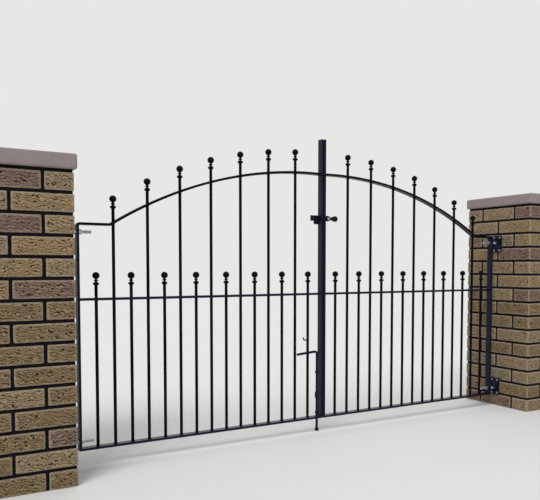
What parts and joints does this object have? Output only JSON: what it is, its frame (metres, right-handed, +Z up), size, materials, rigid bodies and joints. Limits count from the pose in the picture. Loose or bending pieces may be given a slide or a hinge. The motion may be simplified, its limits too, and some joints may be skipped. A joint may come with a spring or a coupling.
{
  "type": "driveway gate",
  "caption": "Double-leaf arched driveway gate of black flat bar and round bars with ball finials, hung between two brick piers, with a latch and a drop bolt.",
  "frame": {"origin": "on the ground, half way between the piers, in the gate's plane", "axes": "+X along the gate to the right as seen from the street, +Y inwards, away from the street, +Z up"},
  "size_m": [3.34, 0.46, 1.402],
  "materials": {
    "black_paint": "satin",
    "zinc_plate": "satin",
    "brick": "matte",
    "coping_stone": "matte"
  },
  "bodies": {
    "piers": {"left_pier": "brick", "left_coping": "coping_stone", "left_top_hinge_plate": "black_paint", "left_bottom_hinge_plate": "black_paint", "right_pier": "brick", "right_coping": "coping_stone", "right_top_hinge_plate": "black_paint", "right_bottom_hinge_plate": "black_paint", "ground_socket": "black_paint"},
    "left_leaf": {"left_hinge_stile": "black_paint", "left_meeting_stile": "black_paint", "left_bottom_rail": "black_paint", "left_mid_rail": "black_paint", "left_top_rail": "black_paint", "left_short_bars": "black_paint", "left_tall_bars": "black_paint", "left_short_finials": "black_paint", "left_tall_finials": "black_paint", "left_top_eye_bolt": "zinc_plate", "left_bottom_eye_bolt": "zinc_plate", "latch_keeper": "black_paint", "lower_bolt_guide": "black_paint", "upper_bolt_guide": "black_paint", "bolt_hook": "black_paint"},
    "right_leaf": {"right_hinge_stile": "black_paint", "right_meeting_stile": "black_paint", "right_bottom_rail": "black_paint", "right_mid_rail": "black_paint", "right_top_rail": "black_paint", "right_short_bars": "black_paint", "right_tall_bars": "black_paint", "right_short_finials": "black_paint", "right_tall_finials": "black_paint", "right_top_eye_bolt": "zinc_plate", "right_bottom_eye_bolt": "zinc_plate", "latch_bracket": "black_paint", "latch_pivot": "zinc_plate"},
    "latch": {"latch_arm": "black_paint"},
    "drop_bolt": {"drop_bolt_rod": "black_paint"},
    "bolt_handle": {"drop_bolt_handle": "black_paint"}
  },
  "joints": [
    {"name": "left_leaf_swing", "type": "hinge", "parent": "piers", "child": "left_leaf", "pos_m": [-1.192, 0, 0.57], "axis": [0, 0, 1], "range_deg": [0, 90]},
    {"name": "right_leaf_swing", "type": "hinge", "parent": "piers", "child": "right_leaf", "pos_m": [1.192, 0, 0.57], "axis": [0, 0, -1], "range_deg": [0, 90]},
    {"name": "latch_lift", "type": "hinge", "parent": "right_leaf", "child": "latch", "pos_m": [0.048, 0.0213, 1.032], "axis": [0, 1, 0], "range_deg": [-18, 30]},
    {"name": "drop_bolt_lift", "type": "slide", "parent": "left_leaf", "child": "drop_bolt", "axis": [0, 0, 1], "range_m": [-0.01, 0.09]},
    {"name": "bolt_handle_turn", "type": "hinge", "parent": "drop_bolt", "child": "bolt_handle", "pos_m": [-0.008, 0.027, 0.375], "axis": [0, 0, 1], "range_deg": [-70, 20]}
  ]
}
